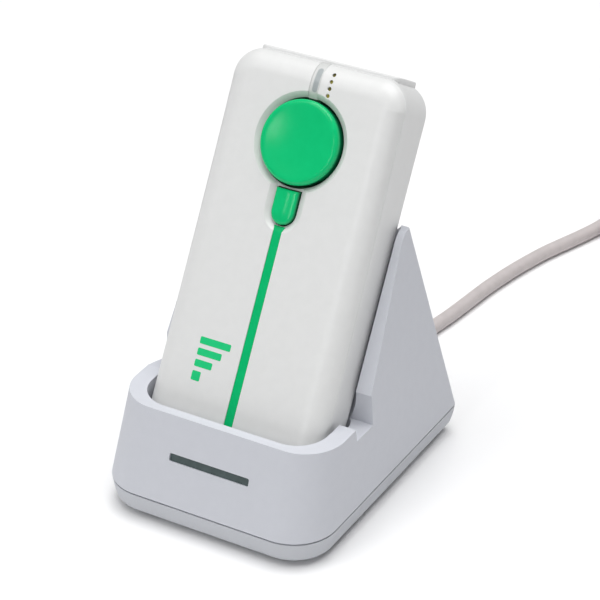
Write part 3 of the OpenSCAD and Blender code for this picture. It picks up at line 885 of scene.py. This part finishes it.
def make_key(m):
    """A key crowned from side to side, with rounded edges: rings drawn in towards its middle line."""
    # How far each ring is grown, its depth, and how far its top end is drawn in
    rows = [
        (0, 2.5, 0), (0, 0.35, 0), (-0.05, 0.12, 0.03), (-0.17, -0.09, 0.1), (-0.36, -0.25, 0.22),
        (-0.62, -0.36, 0.34), (-1.1, -0.47, 0.4), (-1.7, -0.57, 0.4), (-2.3, -0.65, 0.4), (-2.9, -0.7, 0.4),
        (-3.35, -0.71, 0.4),
    ]
    rings = [[(x, d, v) for x, v in key_ring(grow, KEY_HIGH - end)] for grow, d, end in rows]
    key = add_piece("function_key_cap", loft(rings), UNIT)
    flange = add_piece("flange", box_mesh(-(KEY_W / 2 + 0.8), KEY_W / 2 + 0.8, 2.1, 2.9, 78, 84), UNIT)
    join(key, flange, boss(0, 81, 1.2, 2.3, 4.6))
    smooth(key, 32)
    return finish_piece(key, "key", m["button"], "button_green", "function_key")


def make_mark(m):
    """A generic printed mark: three bars of rising length beside a small square."""
    thick, surface = 0.03, -0.02
    left = -14.6
    bars = [(-11.9, 29.5, 32.2), (-9.1, 33.4, 35.4), (-7.0, 36.6, 38.6), (-4.9, 39.8, 41.8)]
    mark = None
    for right, low, high in bars:
        outline = rounded((right - left) / 2, low, high, 0.35, 0.35, 4)
        middle = Matrix.Translation(((left + right) / 2, 0, 0))
        bar = add_piece("printed_bars", prism(outline, surface, surface + thick, "xzy"), UNIT @ middle)
        mark = bar if mark is None else join(mark, bar)
    smooth(mark)
    return finish_piece(mark, "scanner", m["mark"], "print_green")


# ---- Cradle ----
def on_unit(v, d):
    """(y, z) of a point at v and depth d of the scanner."""
    point = UNIT @ Vector((0, d, v))
    return point.y, point.z


PEAK_Y, PEAK_Z = on_unit(PEAK_V, PEAK_D)


def half_width(z):
    return CRADLE_W / 2 - (z - SEAM_Z) * math.tan(math.radians(SIDE_DRAFT))


def front_wall(z):
    return -CRADLE_D / 2 + (z - SEAM_Z) * math.tan(math.radians(FRONT_DRAFT))


def cradle_ring(z, grow=0.0):
    """The cradle's outline at height z, with the drafts of its four walls."""
    half = half_width(z) + grow
    front = front_wall(z) - grow
    lean = (CRADLE_D / 2 - PEAK_Y) / (PEAK_Z - SEAM_Z - BAND)
    back = CRADLE_D / 2 - max(0.0, z - SEAM_Z - BAND) * lean + grow
    corner = max(1.0, FRONT_CORNER - (z - SEAM_Z) / (RIM_Z - SEAM_Z) + grow)
    return [(x, y, z) for x, y in rounded(half, front, back, corner, REAR_CORNER + grow, 16)]


def side_cutter():
    """Everything above the collar, the ledge and the ears, seen from the side."""
    far, wide, above, top = 90, 60, 120, PEAK_Z - 0.25
    outline = [(-far, RIM_Z), (LEDGE_Y, RIM_Z), (LEDGE_Y, LEDGE_Z), (CRADLE_STEP_Y, LEDGE_Z)]
    outline += [(CRADLE_STEP_Y, 38), on_unit(38, EAR_D)]
    start, end = Vector(on_unit(79.6, EAR_D)), Vector((PEAK_Y, PEAK_Z))
    bend = Vector(on_unit(PEAK_V - 0.7, EAR_D + 0.1))
    steps = 12
    for k in range(steps + 1):
        t = k / steps
        outline.append(tuple(start * (1 - t) ** 2 + bend * 2 * t * (1 - t) + end * t ** 2))
    outline += [(PEAK_Y + 0.4, top), (far, top), (far, above), (-far, above)]
    return add_piece("cutter", prism(outline, -wide, wide, "yzx"))


def left_slope():
    """The slope that fills the step on the left, from the rim down to the ear."""
    slope = add_piece("slope", prism(LEFT_SLOPE, -half_width(RIM_Z), -5, "yzx"))
    keep = add_piece("keep", loft([cradle_ring(SEAM_Z), cradle_ring(RIM_Z + 4)]))
    return combine(slope, [keep], "INTERSECT")


def pocket_cutters(grow=0.0):
    """The leaning pocket that holds the scanner, and the collar's upright opening."""
    outline = rounded(POCKET_HALF + grow, -0.6 - grow, POCKET_BACK + grow, 6, POCKET_CORNER + grow, 12)
    pocket = unit_cutter(prism(outline, POCKET_FLOOR - grow, 140))
    rings = []
    for z, back in ((19.2 - grow, -24), (RIM_Z + 8, -12)):
        front = front_wall(z) + RIM_WALL - grow
        rings.append([(x, y, z) for x, y in rounded(COLLAR_HALF + grow, front, back, 9.5, 1, 16)])
    return [pocket, add_piece("cutter", loft(rings))]


def housing_softness(middle):
    """Share of the full edge rounding at the middle (in mm) of an edge of the housing."""
    x, y, z = middle
    if z < SEAM_Z + 0.5:
        return 0.12
    if z < RIM_Z - 6:
        return 0.4 if y < -30 else 0.0
    inside = abs(x) < COLLAR_HALF + 1.2 and y > -31.6
    if z < RIM_Z + 0.2:
        return 0.3 if inside else 0.7
    return 0.25 if inside else 0.4


def wall_box(half, d0, d1, low, high):
    """A box cutter in the cradle's front wall."""
    return add_piece("cutter", box_mesh(-half, half, d0, d1, low, high), WALL_FRAME)


def make_housing(m):
    rings = [cradle_ring(z) for z in (SEAM_Z, SEAM_Z + BAND, PEAK_Z)]
    housing = add_piece("cradle_housing_skin", loft(rings))
    cut(housing, side_cutter())
    join(housing, left_slope())
    cut(housing, *pocket_cutters())
    slot = prism(rounded(12.6, 12.4, 14.75, 0.5, 0.5, 4), -3, 0.9, "xzy")
    cut(housing, add_piece("cutter", slot, WALL_FRAME))
    clean_up(housing)
    round_edges(housing, 0.8, housing_softness)
    hollow_housing(housing)
    smooth(housing, 32)
    return finish_piece(housing, "cradle", m["cradle"], "cradle_plastic", "cradle_housing")


def upright(x, y, profile, steps=40, name="cutter"):
    """A solid of revolution that stands at (x, y)."""
    return add_piece(name, revolve(profile, steps), Matrix.Translation((x, y, 0)))


def post(x, y, r, low, high):
    return upright(x, y, [(0, low), (r, low), (r, high), (0, high)])


def relief_hole():
    return add_piece("cutter", revolve([(0, 30), (3.65, 30), (3.65, 50), (0, 50)], 48), BACKWARDS)


def rear_space(z):
    """(y, z) of the space's rear side at height z, inside the sloping rear wall."""
    lean = (CRADLE_D / 2 - PEAK_Y) / (PEAK_Z - SEAM_Z)
    return CRADLE_D / 2 - 2.3 - (z - SEAM_Z) * lean, z


def hollow_housing(housing):
    """Cuts out the space under the collar and behind the wall that the scanner leans on."""
    roof = 26.4
    low = add_piece("space", loft([cradle_ring(SEAM_Z - 2, -WALL), cradle_ring(roof, -WALL)]))
    cut(low, *pocket_cutters(WALL))
    for x, y in BASE_SCREWS:
        cut(low, post(x, y, 3, 5, 36))
    top, foot = on_unit(68, POCKET_BACK + WALL), on_unit(28, POCKET_BACK + WALL)
    side = [top, foot, (foot[0], SEAM_Z - 1), rear_space(SEAM_Z - 1), rear_space(top[1])]
    tower = add_piece("space", prism(side, -25, 25, "yzx"))
    contacts = unit_cutter(box_mesh(-8.05, 8.05, 7.75, 11.85, 3, 10))
    cut(housing, low, tower, relief_hole(), wall_box(*LENS_SEAT), wall_box(*BOARD_SEAT), contacts)
    cut(housing, *[post(x, y, 1.1, 7, 19) for x, y in BASE_SCREWS])


def base_ring(z, inset):
    """The base plate's outline at height z, drawn in by inset."""
    half, back = CRADLE_W / 2 - inset, CRADLE_D / 2 - inset
    outline = rounded(half, -back, back, FRONT_CORNER - inset, max(0.8, REAR_CORNER - inset), 16)
    return [(x, y, z) for x, y in outline]


def tray_cutter():
    """The base plate's hollow, around the screw posts and the board's rests."""
    wall, floor, lid = 3.2, 3.4, 14
    outline = rounded(CRADLE_W / 2 - wall, wall - CRADLE_D / 2, CRADLE_D / 2 - wall, 10, 2, 12)
    tray = add_piece("cutter", prism(outline, floor, lid))
    for x, y in BASE_SCREWS:
        cut(tray, post(x, y, 3, 3, LIP_TOP))
    for x in (-14, 14):
        for y in (-14, 22):
            cut(tray, post(x, y, 2, 3, 4.6))
    return tray


def make_base(m):
    """The base plate: a lip, the seam, drafted sides and a rounded underside."""
    profile = [(LIP_TOP, 1.5), (8.02, 1.5), (8, 0.22), (7.95, 0.12), (7.85, 0.07)]
    profile += [(6.5, 0.3), (5, 0.55), (3.8, 0.85)]
    rings = [base_ring(z, inset) for z, inset in profile]
    r, steps = 2.2, 7
    for k in range(1, steps + 1):
        a = math.radians(90 * k / steps)
        rings.append(base_ring(3.6 - r * math.sin(a), 0.95 + r * (1 - math.cos(a))))
    base = add_piece("base_plate_tray", loft(rings))
    cutters = [tray_cutter(), relief_hole()]
    sink = [(0, -1), (2.9, -1), (2.9, 1.3), (2.6, 1.7), (2.6, 3.4), (1.3, 3.4), (1.3, 12), (0, 12)]
    for x, y in BASE_SCREWS:
        cutters.append(upright(x, y, sink))
    seat = [(0, -1), (4.3, -1), (4.3, 1.3), (4.05, 1.6), (4.05, 2.2), (0, 2.2)]
    for x, y in FEET:
        cutters.append(upright(x, y, seat, 56))
    cut(base, *cutters)
    smooth(base, 30)
    return finish_piece(base, "cradle", m["base"], "base_plastic", "base_plate")


def make_feet(m):
    profile = [(0, 0.12), (2.6, 0.12), (2.75, 0), (3.2, 0), (3.55, 0.1), (3.85, 0.35), (4, 0.75)]
    profile += [(4, 2.2), (0, 2.2)]
    feet = None
    for x, y in FEET:
        foot = upright(x, y, profile, 56, "feet")
        feet = foot if feet is None else join(feet, foot)
    smooth(feet, 30)
    return finish_piece(feet, "cradle", m["rubber"], "foot_rubber", "rubber_feet")


def make_strain_relief(m):
    """A ribbed, tapered boot with a flange inside the wall."""
    profile = [(0, 37.5), (4.4, 37.5), (4.6, 37.7), (4.6, 38.8), (4.4, 39.0), (3.6, 39.0), (3.6, 43.4)]
    ribs, start, end = 6, 43.6, 53.6
    step = (end - start) / ribs
    for k in range(ribs):
        y = start + step * k
        r = 3.55 - 0.85 * k / ribs
        for inset, share in ((0, 0), (0.02, 0.5), (0.12, 0.6), (0.5, 0.64), (0.52, 0.86), (0.2, 0.92)):
            profile.append((r - inset, y + step * share))
    profile += [(2.6, 54.2), (2.5, 55.0), (0, 55.0)]
    boot = add_piece("lead_boot", revolve(profile, 48), BACKWARDS)
    smooth(boot, 30)
    return finish_piece(boot, "cradle", m["lead"], "lead_jacket", "strain_relief")


# ---- Lead and plug ----
def eased(t):
    """A smooth step from 0 to 1."""
    t = min(1.0, max(0.0, t))
    return t * t * (3 - 2 * t)


def coil_line():
    """The turns of the coil, from where the lead joins it to where it leaves on top."""
    out, low = COIL_R + LEAD_D / 2, COIL_R - LEAD_D / 2
    # Radius and layer of each turn, then the angles in degrees at which they change
    states = [(out, 0), (low, 0), (low, 1), (out, 1), (out, 2), (low, 2), (low, 3), (out, 3)]
    start, period, change, total, last_rise = 300, 333, 40, 2700, 50
    points = []
    for angle in range(10, total + 1, 10):
        r, layer = states[0]
        for k, (r_next, layer_next) in enumerate(states[1:]):
            share = eased((angle - start - period * k) / change)
            r += (r_next - r) * share
            layer += (layer_next - layer) * share
        layer += eased((angle - total + last_rise) / last_rise)
        turn = math.radians(180 - angle)
        height = LEAD_D / 2 + LEAD_D * layer
        points.append((COIL_X + r * math.cos(turn), COIL_Y + r * math.sin(turn), height))
    return points


def smoothed(points):
    """Catmull-Rom points between given ones."""
    line = []
    pieces, last = 4, len(points) - 1
    for i in range(last):
        a, b, c, d = (Vector(points[j]) for j in (max(i - 1, 0), i, i + 1, min(i + 2, last)))
        for k in range(pieces):
            t = k / pieces
            line.append(0.5 * (2 * b + (c - a) * t + (2 * a - 5 * b + 4 * c - d) * t * t
                               + (3 * b - a - 3 * c + d) * t ** 3))
    line.append(Vector(points[-1]))
    return line


def make_lead(m):
    """The whole lead as one cord: along the floor, round the coil and on to the plug."""
    points = smoothed(LEAD_ROUTE) + [Vector(point) for point in coil_line()[:-1]] + smoothed(TAIL_ROUTE)
    curve = bpy.data.curves.new("charging_lead", "CURVE")
    curve.dimensions = "3D"
    curve.bevel_depth = LEAD_D / 2 * MM
    curve.bevel_resolution = 6
    curve.use_fill_caps = True
    spline = curve.splines.new("POLY")
    spline.points.add(len(points) - 1)
    for spot, point in zip(spline.points, points):
        spot.co = (*(point * MM), 1)
    spline.use_smooth = True
    lead = bpy.data.objects.new("charging_lead", curve)
    bpy.context.scene.collection.objects.link(lead)
    curve.materials.append(m["lead"])
    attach(lead, "cradle")
    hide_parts("cable_lead", "cable_coil", "cable_tail")
    return lead


def make_plug(m):
    """The plug's overmould: a boot, and a grip with four finger grooves on each side."""
    place = Matrix.Translation(TAIL_ROUTE[-1]) @ Matrix.Rotation(math.pi / 2, 4, "X")
    # Half width, half thickness and corner radius at each depth
    sections = [
        (2.6, 2.6, 2.55, 0), (2.75, 2.75, 2.7, 2), (2.8, 2.8, 2.7, 5), (3.4, 2.9, 2.8, 7.4),
        (5.2, 3.3, 2.6, 8.8), (7.2, 3.9, 2.2, 10.4), (7.8, 4.15, 2.0, 12.5),
    ]
    for k in range(4):
        for half, along in ((7.9, 0), (7.5, 0.5), (7.5, 1.3), (7.9, 1.8)):
            sections.append((half, 4.18, 2.0, 15 + 2.6 * k + along))
    sections += [(8.0, 4.2, 2.0, 27), (8.0, 4.2, 2.0, 33.3), (7.8, 4.0, 1.9, 33.8), (7.4, 3.6, 1.6, 34)]
    rings = []
    for half, thick, r, depth in sections:
        rings.append([(x, y, depth) for x, y in rounded(half, -thick, thick, r, r, 8)])
    plug = add_piece("plug_grip", loft(rings), place)
    smooth(plug, 32)
    return finish_piece(plug, "cradle", m["plug"], "plug_plastic", "plug_body")


# ---- CAD nodes that keep their shape ----
def dress(node_name, made):
    """A CAD node keeps its shape and gets its material and softened edges."""
    piece = NODES[node_name]
    piece.data.materials.clear()
    piece.data.materials.append(made)
    bevel(piece, 0.12, 2, "ANGLE").angle_limit = math.radians(30)
    piece.modifiers.new("normals", "WEIGHTED_NORMAL")


KEPT = {
    "status": ("status_lens",),
    "board": ("cradle_board", "main_board", "engine_board"),
    "led": ("status_leds", "indicator_led"),
    "black": ("contact_block", "trigger_switch", "function_switch", "beeper", "processor", "engine_frame"),
    "gold": ("contact_pin_1", "contact_pin_2", "contact_pin_3", "contact_pin_4", "charge_pads"),
    "steel": ("base_screws", "shell_screws"),
    "metal": ("plug_shell", "radio_module"),
    "plug": ("plug_tongue",),
    "battery": ("battery",),
    "socket": ("battery_socket",),
    "lens": ("engine_lens",),
    "red_led": ("aiming_leds",),
}


# ---- Studio ----
def make_studio():
    """A white world, a pale floor and area lights that aim at the object's middle."""
    world = bpy.data.worlds.new("studio")
    bpy.context.scene.world = world
    world.use_nodes = True
    background = world.node_tree.nodes["Background"]
    background.inputs["Color"].default_value = (1.0, 1.0, 1.0, 1)
    background.inputs["Strength"].default_value = 0.21
    floor_mesh = bpy.data.meshes.new("floor")
    far = 3.0
    corners = [(-far, -far, 0), (far, -far, 0), (far, far, 0), (-far, far, 0)]
    floor_mesh.from_pydata(corners, [], [(0, 1, 2, 3)])
    floor = bpy.data.objects.new("floor", floor_mesh)
    bpy.context.scene.collection.objects.link(floor)
    pale = material("pale_floor", (0.96, 0.96, 0.965), 0.6)
    tint(pale, (0.96, 0.96, 0.965), (0.965, 0.965, 0.97), 0.02)
    floor_mesh.materials.append(pale)
    aim = Vector((0, 0, 0.07))
    # Name, place and size in metres, and power in watts
    lights = [
        ("key", (-1.10, -1.50, 2.30), (1.3, 1.3), 10.8),
        ("top", (0.05, 0.22, 2.60), (2.2, 2.2), 66.0),
        ("fill", (1.90, -1.10, 1.30), (1.4, 1.4), 1.5),
        ("glint", (-0.36, -1.02, 0.60), (0.05, 0.14), 0.24),
        ("streak", (0.00, -1.10, 0.62), (0.07, 0.50), 1.3),
    ]
    for name, place, size, watts in lights:
        data = bpy.data.lights.new(name, "AREA")
        data.shape = "RECTANGLE"
        data.size, data.size_y = size
        data.energy = watts
        light = bpy.data.objects.new(name, data)
        light.location = place
        light.rotation_euler = (aim - Vector(place)).to_track_quat("-Z", "Y").to_euler()
        bpy.context.scene.collection.objects.link(light)
    bpy.context.scene.view_settings.view_transform = "Standard"


def main():
    make_camera()
    m = make_materials()
    boot = make_strain_relief(m)
    plug = make_plug(m)
    make_lead(m)
    make_front_shell(m)
    make_rear_shell(m)
    make_sound_mesh(m)
    make_accent_strip(m)
    make_light_pipe(m)
    make_bezel(m)
    make_window(m)
    make_button(m)
    make_key(m)
    make_mark(m)
    make_housing(m)
    make_base(m)
    make_feet(m)
    for key, names in KEPT.items():
        for name in names:
            dress(name, m[key])
    make_studio()


main()
